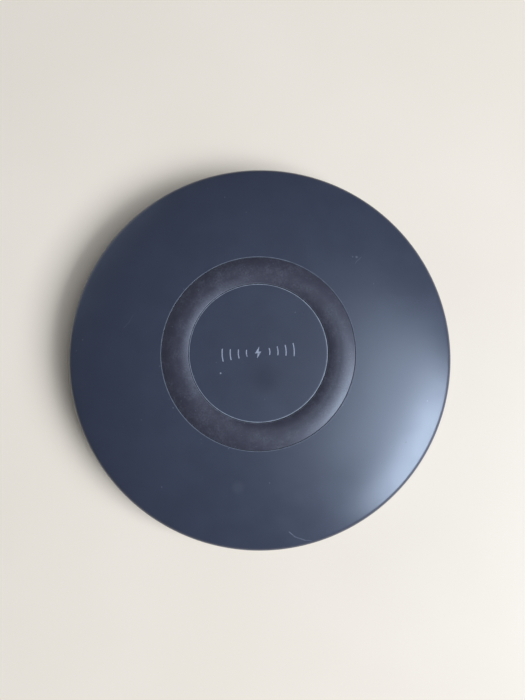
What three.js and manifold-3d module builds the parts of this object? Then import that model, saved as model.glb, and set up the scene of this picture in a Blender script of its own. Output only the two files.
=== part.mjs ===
// A round wireless charging pad, in millimetres, +Z up.
//
// A domed top cover with a silicone grip ring sits on a bowl-shaped base cover. Inside, the
// transmitter coil lies on a ferrite plate right under the top cover, and a round circuit board
// hangs its parts, with the micro USB socket, down into the bowl. Four screws under the foot
// ring hold the covers together.
//
// The origin is the centre of the foot ring's underside. -Y is the front, with the status
// light, and +Y is the rear, with the socket.
import * as THREE from "three";
import { mergeVertices } from "three/addons/utils/BufferGeometryUtils.js";
import Module from "manifold-3d";

const wasm = await Module();
wasm.setup();

// ---------------------------------------------------------------- driving dimensions

const PAD_RADIUS = 49;
const PAD_HEIGHT = 14; // table to the crest of the grip ring
const WALL = 1.8;
const ROUND_SIDES = 64; // facets round the large pieces
const SMALL_SIDES = 16; // facets round screws and bosses
const FIT = 0.1; // gap between pieces that lie against each other

// Top cover: a flat centre disc, a groove for the grip ring, then a dome that steepens outwards.
const DISC_Z = 13.4;
const DOME_DROP = 4.1;
const DOME_POWER = 3.9;
const DOME_RADIUS = 47.8; // where the dome ends and the rolled rim starts
const SEAM_Z = 7.3; // underside of the top cover's rim
const CEILING_Z = 11.2; // flat underside that the coil module is stuck to
const GROOVE_INNER = 17.2;
const GROOVE_OUTER = 24.05;
const GROOVE_Z = 12.4;
const EDGE_FILLET = 0.25;

// Grip ring: a low hump, steeper towards the centre.
const CREST_INNER = 19.6; // the crest is a narrow flat land between these two radii
const CREST_OUTER = 20.6;
const GRIP_INNER_EDGE_Z = 13.62;
const GRIP_OUTER_EDGE_Z = 13.28;
const GRIP_POWER = 2;

// Base cover: a bowl that is a quarter ellipse in section, on a flat bottom.
const BOTTOM_Z = 0.6;
const BOTTOM_RADIUS = 40;
const BOWL_RADIUS = 48.8;
const BOWL_TOP_Z = 7.1;
const BOWL_STEPS = 9;
const FLOOR_Z = BOTTOM_Z + WALL;
const LABEL_RADIUS = 21; // shallow round recess in the middle of the underside
const LABEL_DEPTH = 0.3;

// Inside of the covers: a lip that locates them, and a rib round the coil module.
const LIP = { inner: 45.1, outer: 46.3, bottom: 5.8 };
const LIP_NOTCH = { halfWidth: 9, start: 40 }; // makes room for the socket's wall
const COIL_RIB = { inner: 25.4, outer: 26.6, bottom: 8.8 };
const LEAD_NOTCH = { x: [-28, -23], y: [-11, 2.4] }; // lets the coil's leads through the rib

// Foot ring, in a groove that also hides the screws.
const FOOT_INNER = 32.5;
const FOOT_OUTER = 38.5;
const FOOT_TOP_Z = 1.35;

// Screws that hold the covers together.
const CASE_SCREW_RADIUS = 35.5; // of the circle they stand on
const CASE_SCREW_ANGLES = [45, 135, 225, 315];
const CASE_HEAD_Z = 1.8;
const BOSS_MEETING_Z = 4.6; // where the base's boss meets the top cover's
const COVER_BOSS = { radius: 3, top: 11, pilotRadius: 1.3, pilotTop: 9.5 };
const BASE_BOSS = { radius: 3.5, boreRadius: 2.4, boreTop: 3.4, holeRadius: 1.4 };
const CASE_SCREW = { headRadius: 2.1, headHeight: 1.5, shankRadius: 1.1, length: 5.6, slot: 0.6 };

// Circuit board.
const BOARD_Z = 5.5; // underside of the board
const BOARD_THICKNESS = 1.0;
const BOARD_RADIUS = 31.5;
const BOARD_SCREW_RADIUS = 28;
const BOARD_SCREW_ANGLES = [15, 165, 285];
const BOARD_TONGUE = { halfWidth: 8.5, end: 43.6 };
const BOARD_POST = { radius: 2.5, pilotRadius: 0.95 };
const BOARD_SCREW = { headRadius: 1.7, headHeight: 0.8, shankRadius: 0.8, length: 3.8, slot: 0.5 };
const SOLDER_GAP = 0.05; // between the board and the parts on it

// Coil module.
const FERRITE = { radius: 25, bottom: 7.75, thickness: 2, slotWidth: 3.4, slotDepth: 1.5 };
const SHIELD = { radius: 24.5, bottom: 7.35, thickness: 0.3 };
const ADHESIVE = { inner: 9.5, outer: 23.5, bottom: 11.0, thickness: 0.15 };
const COIL = { firstRadius: 10.6, pitch: 1.15, turns: 10, wire: 0.95, z: 10.35 };

// Micro USB socket, seen from the rear.
const SOCKET = { width: 7.6, height: 2.6, wall: 0.3, length: 5.4, z: 4.15, mouth: 45.3 };
const RECESS = { halfWidth: 6, wallY: 45.6, blockY: 44.1, low: 0.9, corner: 1.6, cheek: 1.5 };

// Status light: a light guide from the board's front edge to a slot in the bowl.
const LIGHT = { width: 6, height: 1.2, z: 4.6, innerEnd: -32.2 };
const LIGHT_FLANGE = { halfWidth: 4.2, y: [-44.7, -43.7], below: 0.7, above: 1 };
const LIGHT_RIB = { halfWidth: 4, halfThickness: 0.5, places: [-36, -41] };
const EMBED = 0.5; // how far a piece of the base starts inside its floor

// ---------------------------------------------------------------- materials

const plain = (color, roughness, metalness = 0) =>
  new THREE.MeshStandardMaterial({ color, roughness, metalness });

const MATERIALS = {
  cover: plain(0x3a404d, 0.45),
  base: plain(0x2c2f36, 0.6),
  silicone: plain(0x393b46, 0.8),
  rubber: plain(0x24262b, 0.9),
  lightGuide: plain(0xdfe4ea, 0.25),
  steel: plain(0xa8acb0, 0.35, 1),
  copper: plain(0xa8683a, 0.4, 0.8),
  ferrite: plain(0x2b2b2e, 0.7),
  aluminium: plain(0xb9bdc2, 0.4, 1),
  adhesive: plain(0xd8d3c6, 0.8),
  board: plain(0x1d5a3a, 0.5),
  chip: plain(0x1b1c1e, 0.55),
  ceramic: plain(0xb59a72, 0.6),
  plastic: plain(0x15161a, 0.5),
  gold: plain(0xd2ab55, 0.3, 1),
  led: plain(0xf0ead2, 0.4),
};

// ---------------------------------------------------------------- solid helpers

const radians = THREE.MathUtils.degToRad;

const polar = (radius, degrees) => [
  radius * Math.cos(radians(degrees)),
  radius * Math.sin(radians(degrees)),
];

// A closed geometry as a manifold-3d solid with its faces pointing out.
function solid(geometry) {
  const soup = geometry.index ? geometry.toNonIndexed() : geometry;
  const bare = new THREE.BufferGeometry();
  bare.setAttribute("position", soup.getAttribute("position"));
  const merged = mergeVertices(bare, 1e-4);
  const index = merged.index.array;
  const triangles = [];
  for (let i = 0; i < index.length; i += 3) {
    const [a, b, c] = [index[i], index[i + 1], index[i + 2]];
    if (a !== b && b !== c && c !== a) triangles.push(a, b, c);
  }
  const build = (corners) =>
    new wasm.Manifold(
      new wasm.Mesh({
        numProp: 3,
        vertProperties: merged.attributes.position.array,
        triVerts: new Uint32Array(corners),
      }),
    );
  const made = build(triangles);
  return made.volume() > 0 ? made : build(triangles.reverse());
}

const join = (first, ...others) => others.reduce((sum, other) => sum.add(other), first);

const cut = (first, ...others) => others.reduce((rest, other) => rest.subtract(other), first);

function geometryOf(manifold) {
  const mesh = manifold.getMesh();
  const geometry = new THREE.BufferGeometry();
  geometry.setAttribute("position", new THREE.BufferAttribute(mesh.vertProperties, 3));
  geometry.setIndex(new THREE.BufferAttribute(mesh.triVerts, 1));
  geometry.computeVertexNormals();
  return geometry;
}

// A profile of [radius, z] points turned about the Z axis.
function turned(profile, sides = ROUND_SIDES) {
  const points = profile.map(([radius, z]) => new THREE.Vector2(radius, z));
  return solid(new THREE.LatheGeometry(points, sides).rotateX(Math.PI / 2));
}

// The same for a profile that doesn't reach the axis and has to close on itself.
const turnedRing = (profile, sides) => turned([...profile, profile[0]], sides);

// An upright cylinder from z to z + height.
function cylinder(radius, z, height, x = 0, y = 0, sides = SMALL_SIDES) {
  const geometry = new THREE.CylinderGeometry(radius, radius, height, sides);
  return solid(geometry.rotateX(Math.PI / 2).translate(x, y, z + height / 2));
}

// A box given by its two corners.
function block([x0, y0, z0], [x1, y1, z1]) {
  const geometry = new THREE.BoxGeometry(x1 - x0, y1 - y0, z1 - z0);
  return solid(geometry.translate((x0 + x1) / 2, (y0 + y1) / 2, (z0 + z1) / 2));
}

// A box with rounded upright edges, centred on the Z axis and standing on z = 0.
function roundedBlock(width, depth, height, corner, cornerSteps = 1) {
  const [w, d] = [width / 2 - corner, depth / 2 - corner];
  const outline = new THREE.Shape()
    .absarc(w, d, corner, 0, Math.PI / 2)
    .absarc(-w, d, corner, Math.PI / 2, Math.PI)
    .absarc(-w, -d, corner, Math.PI, 1.5 * Math.PI)
    .absarc(w, -d, corner, 1.5 * Math.PI, 2 * Math.PI);
  const options = { depth: height, bevelEnabled: false, curveSegments: cornerSteps };
  return solid(new THREE.ExtrudeGeometry(outline, options));
}

// A wire of the given thickness along a list of points.
function wire(points, thickness, steps, sides) {
  const path = new THREE.CatmullRomCurve3(points.map((p) => new THREE.Vector3(...p)));
  path.arcLengthDivisions = 4 * steps;
  const section = new THREE.Shape();
  for (let i = 0; i < sides; i++) {
    const [x, y] = polar(thickness / 2, (360 * i) / sides);
    if (i === 0) section.moveTo(x, y);
    else section.lineTo(x, y);
  }
  return solid(new THREE.ExtrudeGeometry(section, { steps, extrudePath: path }));
}

// ---------------------------------------------------------------- curves of the casing

const domeZ = (radius) => DISC_Z - DOME_DROP * (radius / DOME_RADIUS) ** DOME_POWER;

// Points of the dome from one radius to another.
const dome = (from, to, count, lower = 0) =>
  Array.from({ length: count }, (_, i) => {
    const radius = from + ((to - from) * i) / (count - 1);
    return [radius, domeZ(radius) - lower];
  });

// The rolled rim: an arc that leaves the dome along its slope and ends upright.
function rim(count) {
  const tilt = Math.atan((DOME_POWER * DOME_DROP) / DOME_RADIUS);
  const radius = (PAD_RADIUS - DOME_RADIUS) / (1 - Math.sin(tilt));
  const centreZ = domeZ(DOME_RADIUS) - radius * Math.cos(tilt);
  return Array.from({ length: count }, (_, i) => {
    const angle = (Math.PI / 2 - tilt) * (1 - (i + 1) / count);
    return [
      PAD_RADIUS - radius * (1 - Math.cos(angle)),
      centreZ + radius * Math.sin(angle),
    ];
  });
}

// Quarter ellipse of the bowl, from its top edge down to the flat bottom.
const bowl = (count, wall = 0) =>
  Array.from({ length: count }, (_, i) => {
    const angle = (Math.PI / 2) * (i / (count - 1));
    return [
      BOTTOM_RADIUS + (BOWL_RADIUS - BOTTOM_RADIUS - wall) * Math.cos(angle),
      BOWL_TOP_Z - (BOWL_TOP_Z - BOTTOM_Z - wall) * Math.sin(angle),
    ];
  });

// ---------------------------------------------------------------- casing

function makeTopCover() {
  let cover = turned([
    [0, DISC_Z],
    [GROOVE_INNER - EDGE_FILLET, DISC_Z],
    [GROOVE_INNER, DISC_Z - EDGE_FILLET],
    [GROOVE_INNER, GROOVE_Z],
    [GROOVE_OUTER, GROOVE_Z],
    [GROOVE_OUTER, domeZ(GROOVE_OUTER) - EDGE_FILLET],
    ...dome(GROOVE_OUTER + EDGE_FILLET, DOME_RADIUS, 7),
    ...rim(3),
    [PAD_RADIUS, SEAM_Z],
    [LIP.outer, SEAM_Z],
    [LIP.outer, LIP.bottom],
    [LIP.inner, LIP.bottom],
    ...dome(28, LIP.inner, 4, WALL).reverse(),
    [COIL_RIB.outer, CEILING_Z],
    [COIL_RIB.outer, COIL_RIB.bottom],
    [COIL_RIB.inner, COIL_RIB.bottom],
    [COIL_RIB.inner, CEILING_Z],
    [0, CEILING_Z],
  ]);
  for (const angle of CASE_SCREW_ANGLES) {
    const [x, y] = polar(CASE_SCREW_RADIUS, angle);
    const { radius, top, pilotRadius, pilotTop } = COVER_BOSS;
    const bottom = BOSS_MEETING_Z + FIT;
    const boss = cylinder(radius, bottom, top - bottom, x, y);
    const pilot = cylinder(pilotRadius, bottom - 1, pilotTop - bottom + 1, x, y);
    cover = cut(join(cover, boss), pilot);
  }
  // A notch stops just short of the face above it, so that no two faces fall together.
  const short = 0.01;
  const { halfWidth, start } = LIP_NOTCH;
  const socketNotch = block(
    [-halfWidth, start, LIP.bottom - 1],
    [halfWidth, PAD_RADIUS, SEAM_Z - short],
  );
  const leadNotch = block(
    [LEAD_NOTCH.x[0], LEAD_NOTCH.y[0], COIL_RIB.bottom - 1],
    [LEAD_NOTCH.x[1], LEAD_NOTCH.y[1], CEILING_Z - short],
  );
  return cut(cover, socketNotch, leadNotch);
}

function makeBaseCover() {
  const grooveTop = FOOT_TOP_Z + FIT / 2;
  let base = turned([
    [0, BOTTOM_Z + LABEL_DEPTH],
    [LABEL_RADIUS, BOTTOM_Z + LABEL_DEPTH],
    [LABEL_RADIUS + LABEL_DEPTH, BOTTOM_Z],
    [FOOT_INNER - FIT, BOTTOM_Z],
    [FOOT_INNER - FIT, grooveTop],
    [FOOT_OUTER + FIT, grooveTop],
    [FOOT_OUTER + FIT, BOTTOM_Z],
    ...bowl(BOWL_STEPS).reverse(),
    ...bowl(6, WALL),
    [0, FLOOR_Z],
  ]);
  const bossBottom = FLOOR_Z - EMBED;
  for (const angle of CASE_SCREW_ANGLES) {
    const [x, y] = polar(CASE_SCREW_RADIUS, angle);
    const { radius, boreRadius, boreTop, holeRadius } = BASE_BOSS;
    const counterbore = cylinder(boreRadius, 0, boreTop, x, y);
    base = join(base, cylinder(radius, bossBottom, BOSS_MEETING_Z - bossBottom, x, y));
    base = cut(base, counterbore, cylinder(holeRadius, 1, BOSS_MEETING_Z, x, y));
  }
  for (const angle of BOARD_SCREW_ANGLES) {
    const [x, y] = polar(BOARD_SCREW_RADIUS, angle);
    const top = BOARD_Z - FIT;
    base = join(base, cylinder(BOARD_POST.radius, bossBottom, top - bossBottom, x, y));
    base = cut(base, cylinder(BOARD_POST.pilotRadius, FLOOR_Z, BOARD_Z, x, y));
  }
  return cut(join(base, socketWall(), ...lightRibs()), socketRecess(), socketHole(), lightSlot());
}

// The space inside the bowl's outer face.
const bowlSpace = () => turned([[0, BOTTOM_Z], ...bowl(BOWL_STEPS).reverse(), [0, BOWL_TOP_Z]]);

// The wall behind the recess, in which the socket stands, and a cheek on each side of the recess.
function socketWall() {
  const side = RECESS.halfWidth + RECESS.cheek;
  const wall = block([-side, RECESS.blockY, FLOOR_Z - EMBED], [side, PAD_RADIUS, BOWL_TOP_Z]);
  return wall.intersect(bowlSpace());
}

// The pocket that a plug's moulded grip goes into, open upwards to the top cover's rim.
function socketRecess() {
  const height = 2 * (BOWL_TOP_Z - RECESS.low);
  const depth = PAD_RADIUS - RECESS.wallY;
  const pocket = roundedBlock(2 * RECESS.halfWidth, height, depth + 1, RECESS.corner, 3);
  const place = new THREE.Matrix4().makeRotationX(Math.PI / 2);
  const geometry = geometryOf(pocket).applyMatrix4(place);
  return solid(geometry.translate(0, PAD_RADIUS + 1, BOWL_TOP_Z));
}

function socketHole() {
  const [w, h] = [SOCKET.width / 2 + 0.3, SOCKET.height / 2 + 0.3];
  return block([-w, 40, SOCKET.z - h], [w, RECESS.wallY + 1, SOCKET.z + h]);
}

function lightSlot() {
  const [w, h] = [LIGHT.width / 2 + 0.2, LIGHT.height / 2 + 0.2];
  return block([-w, -PAD_RADIUS, LIGHT.z - h], [w, -42, LIGHT.z + h]);
}

// Two ribs that the light guide lies on.
function lightRibs() {
  const top = LIGHT.z - LIGHT.height / 2 - FIT;
  const { halfWidth: w, halfThickness: t, places } = LIGHT_RIB;
  return places.map((y) => block([-w, y - t, FLOOR_Z - EMBED], [w, y + t, top]));
}

function makeGripRing() {
  const inner = GROOVE_INNER + FIT;
  const outer = GROOVE_OUTER - FIT;
  const bottom = GROOVE_Z + FIT / 2;
  // One flank of the hump, from its crest to its edge.
  const flank = (crest, edge, edgeZ, count) =>
    Array.from({ length: count }, (_, i) => {
      const share = i / (count - 1);
      const drop = (PAD_HEIGHT - edgeZ) * share ** GRIP_POWER;
      return [crest + (edge - crest) * share, PAD_HEIGHT - drop];
    });
  return turnedRing([
    [inner, bottom],
    ...flank(CREST_INNER, inner, GRIP_INNER_EDGE_Z, 5).reverse(),
    ...flank(CREST_OUTER, outer, GRIP_OUTER_EDGE_Z, 6),
    [outer, bottom],
  ]);
}

function makeFootRing() {
  const round = 0.35;
  return turnedRing([
    [FOOT_INNER + round, 0],
    [FOOT_OUTER - round, 0],
    [FOOT_OUTER, round],
    [FOOT_OUTER, FOOT_TOP_Z],
    [FOOT_INNER, FOOT_TOP_Z],
    [FOOT_INNER, round],
  ]);
}

// A bar with a flange behind the bowl's wall, its outer end flush with the bowl.
function makeLightGuide() {
  const [w, h] = [LIGHT.width / 2, LIGHT.height / 2];
  const bar = block([-w, -PAD_RADIUS, LIGHT.z - h], [w, LIGHT.innerEnd, LIGHT.z + h]);
  const { halfWidth, y, below, above } = LIGHT_FLANGE;
  const flange = block([-halfWidth, y[0], LIGHT.z - below], [halfWidth, y[1], LIGHT.z + above]);
  return join(bar, flange).intersect(bowlSpace());
}

// A pan-head screw with a cross recess, its head at the bottom.
function makeScrew({ headRadius, headHeight, shankRadius, length, slot }) {
  const head = cylinder(headRadius, 0, headHeight);
  const shank = cylinder(shankRadius, headHeight - 0.1, length + 0.1, 0, 0, 10);
  const depth = headHeight * 0.6;
  const arm = headRadius * 0.62;
  return cut(
    join(head, shank),
    block([-arm, -slot / 2, -1], [arm, slot / 2, depth]),
    block([-slot / 2, -arm, -1], [slot / 2, arm, depth]),
  );
}

// ---------------------------------------------------------------- coil module

// A disc with a groove from its centre to its edge for the leads.
function makeFerritePlate() {
  const { radius, bottom, thickness, slotWidth, slotDepth } = FERRITE;
  const top = bottom + thickness;
  const plate = cylinder(radius, bottom, thickness, 0, 0, ROUND_SIDES);
  const half = slotWidth / 2;
  return cut(plate, block([-radius - 1, -half, top - slotDepth], [3, half, top + 1]));
}

const makeShieldPlate = () =>
  cylinder(SHIELD.radius, SHIELD.bottom, SHIELD.thickness, 0, 0, ROUND_SIDES);

function makeCoilAdhesive() {
  const { inner, outer, bottom, thickness } = ADHESIVE;
  const top = bottom + thickness;
  return turnedRing([[inner, bottom], [outer, bottom], [outer, top], [inner, top]]);
}

// The coil's wire: in along the ferrite's groove, round the spiral, and out to the board.
function makeCoil() {
  const slotZ = FERRITE.bottom + FERRITE.thickness - 0.75;
  const padZ = BOARD_Z + BOARD_THICKNESS + COIL.wire / 2 + SOLDER_GAP;
  const y = 0.8;
  const leadIn = [
    [-29, y, padZ],
    [-27.6, y, padZ + 0.3],
    [-26.3, y, slotZ - 0.3],
    [-24.5, y, slotZ],
    [-18, y, slotZ],
    [-12, y, slotZ],
    [-10.2, 0.5, slotZ + 0.5],
    [-9.3, -1.1, COIL.z],
  ];
  const stepAngle = 12;
  const startAngle = 204;
  const steps = (COIL.turns * 360) / stepAngle;
  const spiral = Array.from({ length: steps }, (_, i) => {
    const swept = i * stepAngle;
    const radius = COIL.firstRadius + (COIL.pitch * swept) / 360;
    return [...polar(radius, startAngle + swept), COIL.z];
  });
  const leadOut = [
    [-22.3, -7.2, COIL.z],
    [-23.8, -8.4, COIL.z],
    [-25.5, -8.3, COIL.z - 0.1],
    [-27, -7.4, COIL.z - 1.2],
    [-27.9, -6.2, padZ + 0.9],
    [-29, -4.6, padZ],
  ];
  return wire([...leadIn, ...spiral, ...leadOut], COIL.wire, 300, 5);
}

// A bead under the cover's centre, with its lead pair along the ferrite's groove.
function makeThermistor() {
  const slotZ = FERRITE.bottom + FERRITE.thickness - 1.1;
  const padZ = BOARD_Z + BOARD_THICKNESS + 0.35;
  const y = -1.0;
  const bead = solid(new THREE.SphereGeometry(1, 10, 6).translate(0, 0, CEILING_Z - 1.1));
  const leads = [
    [0, 0, CEILING_Z - 1.4],
    [-1.5, -0.5, slotZ + 0.6],
    [-4, y, slotZ],
    [-14, y, slotZ],
    [-25.6, y, slotZ],
    [-27, y, slotZ - 0.8],
    [-29, y, padZ],
  ];
  return join(bead, wire(leads, 0.6, 24, 5));
}

// ---------------------------------------------------------------- circuit board

function makeBoard() {
  const { halfWidth, end } = BOARD_TONGUE;
  let board = join(
    cylinder(BOARD_RADIUS, BOARD_Z, BOARD_THICKNESS, 0, 0, ROUND_SIDES),
    block([-halfWidth, 0, BOARD_Z], [halfWidth, end, BOARD_Z + BOARD_THICKNESS]),
  );
  for (const angle of BOARD_SCREW_ANGLES) {
    const [x, y] = polar(BOARD_SCREW_RADIUS, angle);
    board = cut(board, cylinder(1.2, BOARD_Z - 1, 3, x, y));
  }
  return board;
}

// The parts soldered under the board: name, material, centre [x, y] and size [x, y, z].
const BOARD_PARTS = [
  ["controller_ic", "chip", [0, 7], [6, 6, 0.9]],
  ["regulator_ic", "chip", [-5, 19], [3, 3, 1.1]],
  ["power_inductor", "ferrite", [-13, 17], [5, 5, 2.4]],
  ["crystal", "steel", [9, 12], [3.2, 2.5, 0.7]],
  ["sense_resistor", "chip", [13.5, 18.5], [6.3, 3.2, 0.6]],
  ["status_led", "led", [0, -30.2], [3.8, 1.6, 1.3]],
  ...[-10.5, 10.5].map((x, i) => [`input_capacitor_${i + 1}`, "ceramic", [x, 26], [3.2, 2.5, 2]]),
  ...[-12, -6.5, 6.5, 12].map((x, i) => [`bridge_fet_${i + 1}`, "chip", [x, -4], [3.3, 3.3, 0.9]]),
  ...[-15, -5, 5, 15].map((x, i) => [
    `resonant_capacitor_${i + 1}`,
    "ceramic",
    [x, -14],
    [5.7, 5, 2],
  ]),
];

// ---------------------------------------------------------------- micro USB socket

// The socket's outline: wide side down, chamfered towards the board.
function socketOutline(inset) {
  const [w, h] = [SOCKET.width / 2 - inset, SOCKET.height / 2 - inset];
  const chamfer = 1.0 - inset / 4;
  return new THREE.Shape([
    new THREE.Vector2(-w, -h),
    new THREE.Vector2(w, -h),
    new THREE.Vector2(w, h - chamfer),
    new THREE.Vector2(w - chamfer, h),
    new THREE.Vector2(-w + chamfer, h),
    new THREE.Vector2(-w, h - chamfer),
  ]);
}

// An outline in X and Z, drawn out along Y from the socket's mouth to the given depth.
function alongSocket(outline, start, length) {
  const geometry = new THREE.ExtrudeGeometry(outline, { depth: length, bevelEnabled: false });
  return solid(geometry.rotateX(Math.PI / 2).translate(0, SOCKET.mouth - start, SOCKET.z));
}

function makeSocketShell() {
  const shell = alongSocket(socketOutline(0), 0, SOCKET.length);
  return cut(shell, alongSocket(socketOutline(SOCKET.wall), -1, SOCKET.length + 2));
}

// The insulator: a plug at the back of the shell and a tongue towards the mouth.
const TONGUE = { width: 4.2, thickness: 0.6, start: 0.7, bodyDepth: 1.5 };

function makeSocketInsulator() {
  const back = SOCKET.length - 0.1;
  const body = alongSocket(
    socketOutline(SOCKET.wall + 0.05),
    back - TONGUE.bodyDepth,
    TONGUE.bodyDepth,
  );
  const [w, t] = [TONGUE.width / 2, TONGUE.thickness / 2];
  const tongue = block(
    [-w, SOCKET.mouth - back + 0.5, SOCKET.z - t],
    [w, SOCKET.mouth - TONGUE.start, SOCKET.z + t],
  );
  return join(body, tongue);
}

const CONTACT = { count: 5, pitch: 0.65, width: 0.35, thickness: 0.12 };

function makeContact(index) {
  const x = (index - (CONTACT.count - 1) / 2) * CONTACT.pitch;
  const top = SOCKET.z - TONGUE.thickness / 2 - 0.03;
  const back = SOCKET.length - 0.1 - TONGUE.bodyDepth - 0.05;
  return block(
    [x - CONTACT.width / 2, SOCKET.mouth - back, top - CONTACT.thickness],
    [x + CONTACT.width / 2, SOCKET.mouth - TONGUE.start - 0.2, top],
  );
}

// ---------------------------------------------------------------- assembly

function mesh(name, manifold, material) {
  const made = new THREE.Mesh(geometryOf(manifold), MATERIALS[material]);
  made.name = name;
  return made;
}

function makeCasing() {
  const casing = new THREE.Group();
  casing.add(
    mesh("top_cover", makeTopCover(), "cover"),
    mesh("grip_ring", makeGripRing(), "silicone"),
    mesh("base_cover", makeBaseCover(), "base"),
    mesh("foot_ring", makeFootRing(), "rubber"),
    mesh("light_guide", makeLightGuide(), "lightGuide"),
  );
  CASE_SCREW_ANGLES.forEach((angle, i) => {
    const screw = mesh(`case_screw_${i + 1}`, makeScrew(CASE_SCREW), "steel");
    screw.position.set(...polar(CASE_SCREW_RADIUS, angle), CASE_HEAD_Z);
    casing.add(screw);
  });
  return casing;
}

function makeCoilModule() {
  const coilModule = new THREE.Group();
  coilModule.add(
    mesh("transmitter_coil", makeCoil(), "copper"),
    mesh("ferrite_plate", makeFerritePlate(), "ferrite"),
    mesh("shield_plate", makeShieldPlate(), "aluminium"),
    mesh("coil_adhesive", makeCoilAdhesive(), "adhesive"),
    mesh("thermistor", makeThermistor(), "chip"),
  );
  return coilModule;
}

function makeBoardAssembly() {
  const assembly = new THREE.Group();
  assembly.add(mesh("circuit_board", makeBoard(), "board"));
  for (const [name, material, [x, y], [width, depth, height]] of BOARD_PARTS) {
    const part = mesh(name, roundedBlock(width, depth, height, 0.2), material);
    part.position.set(x, y, BOARD_Z - SOLDER_GAP - height);
    assembly.add(part);
  }
  BOARD_SCREW_ANGLES.forEach((angle, i) => {
    const screw = mesh(`board_screw_${i + 1}`, makeScrew(BOARD_SCREW), "steel");
    const headTop = BOARD_Z + BOARD_THICKNESS + SOLDER_GAP + BOARD_SCREW.headHeight;
    screw.rotation.x = Math.PI;
    screw.position.set(...polar(BOARD_SCREW_RADIUS, angle), headTop);
    assembly.add(screw);
  });
  return assembly;
}

function makeSocket() {
  const socket = new THREE.Group();
  socket.add(
    mesh("usb_shell", makeSocketShell(), "steel"),
    mesh("usb_insulator", makeSocketInsulator(), "plastic"),
  );
  for (let i = 0; i < CONTACT.count; i++) {
    socket.add(mesh(`usb_contact_${i + 1}`, makeContact(i), "gold"));
  }
  return socket;
}

const pad = new THREE.Group();
pad.add(makeCasing(), makeCoilModule(), makeBoardAssembly(), makeSocket());

export default pad;
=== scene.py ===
"""A round wireless charging pad lying on a pale table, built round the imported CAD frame.

The frame is in metres, +Z up, with the origin under the centre of the pad. -Y is the front, with
the status light, and +Y is the rear, with the micro USB socket. Sizes below are in millimetres,
and MM turns them into metres.
"""

from math import acos, asin, atan, cos, degrees, hypot, pi, radians, sin, sqrt, tan

import bmesh
import bpy
import numpy as np
from mathutils import Matrix, Vector


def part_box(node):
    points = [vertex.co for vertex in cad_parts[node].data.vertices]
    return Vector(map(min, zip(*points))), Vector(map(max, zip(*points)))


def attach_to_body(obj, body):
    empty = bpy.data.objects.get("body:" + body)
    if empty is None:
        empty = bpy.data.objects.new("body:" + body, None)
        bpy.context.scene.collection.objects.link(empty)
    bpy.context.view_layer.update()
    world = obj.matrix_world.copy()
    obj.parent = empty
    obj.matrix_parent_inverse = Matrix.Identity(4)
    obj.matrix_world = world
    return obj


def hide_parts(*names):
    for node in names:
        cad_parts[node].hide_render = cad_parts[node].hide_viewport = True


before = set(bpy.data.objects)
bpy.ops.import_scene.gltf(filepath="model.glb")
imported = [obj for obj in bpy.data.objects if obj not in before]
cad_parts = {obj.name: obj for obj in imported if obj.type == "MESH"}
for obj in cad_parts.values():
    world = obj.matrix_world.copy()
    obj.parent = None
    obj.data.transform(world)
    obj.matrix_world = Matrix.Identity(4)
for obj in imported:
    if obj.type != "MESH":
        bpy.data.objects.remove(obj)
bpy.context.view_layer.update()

MM = 0.001
FINE = 288  # facets round the large turned pieces
PAST = 1  # how far a cut runs past the face that it opens
rng = np.random.default_rng(7)


# -------- sizes from the frame


def box_mm(node):
    """A CAD node's lowest and highest corner, in millimetres."""
    low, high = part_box(node)
    return Vector(low) / MM, Vector(high) / MM


COVER_HIGH = box_mm("top_cover")[1]
BASE_LOW, BASE_HIGH = box_mm("base_cover")
GRIP_LOW, GRIP_HIGH = box_mm("grip_ring")
FOOT_HIGH = box_mm("foot_ring")[1]
LIGHT_HIGH = box_mm("light_guide")[1]
SHELL_LOW, SHELL_HIGH = box_mm("usb_shell")
BOARD_LOW, BOARD_HIGH = box_mm("circuit_board")
FERRITE_LOW, FERRITE_HIGH = box_mm("ferrite_plate")

PAD_RADIUS = COVER_HIGH.x
DISC_Z = COVER_HIGH.z
CREST_Z = GRIP_HIGH.z
GRIP_OUTER = GRIP_HIGH.x

# Top cover. The dome steepens outwards and ends in a rolled rim.
DOME_DROP = 4.1
DOME_POWER = 3.9
DOME_RADIUS = PAD_RADIUS - 1.2
SEAM_Z = 7.3
CEILING_Z = 11.2
WALL = 1.8
GROOVE_INNER = 17.2
GROOVE_OUTER = GRIP_OUTER + 0.1
GROOVE_Z = GRIP_LOW.z - 0.05

# Grip ring.
GRIP_INNER = 17.3
GRIP_INNER_Z = 13.6
GRIP_OUTER_Z = 13.28
CREST_INNER = 19.8
CREST_OUTER = 20.4

# Base cover.
BOTTOM_Z = BASE_LOW.z
BOTTOM_RADIUS = 40
BOWL_RADIUS = BASE_HIGH.x
BOWL_TOP_Z = BASE_HIGH.z
FLOOR_Z = BOTTOM_Z + WALL
LABEL_RADIUS = 21
LABEL_DEPTH = 0.3
FOOT_INNER = 32.5
FOOT_OUTER = FOOT_HIGH.x

SOCKET_Z = (SHELL_LOW.z + SHELL_HIGH.z) / 2
RECESS_HALF = 6
RECESS_WALL_Y = 45.6
RECESS_LOW = 0.9
RECESS_CORNER = 1.6

# Inside of the covers.
LIP_INNER, LIP_OUTER, LIP_LOW = 45.1, 46.3, 5.8
RIB_INNER, RIB_OUTER, RIB_LOW = 25.4, 26.6, 8.8
BOSS_MEETING_Z = 4.6
COVER_BOSS, COVER_PILOT, PILOT_TOP_Z = 3, 1.3, 9.5
BASE_BOSS, HEAD_BORE, SHANK_BORE, HEAD_SEAT_Z = 3.5, 2.4, 1.4, 3.4
BOARD_POST, POST_PILOT = 2.5, 0.95
SINK = 0.5  # how far a boss, post or rib starts inside the floor


def centre_of(node):
    low, high = box_mm(node)
    return (low.x + high.x) / 2, (low.y + high.y) / 2


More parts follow.
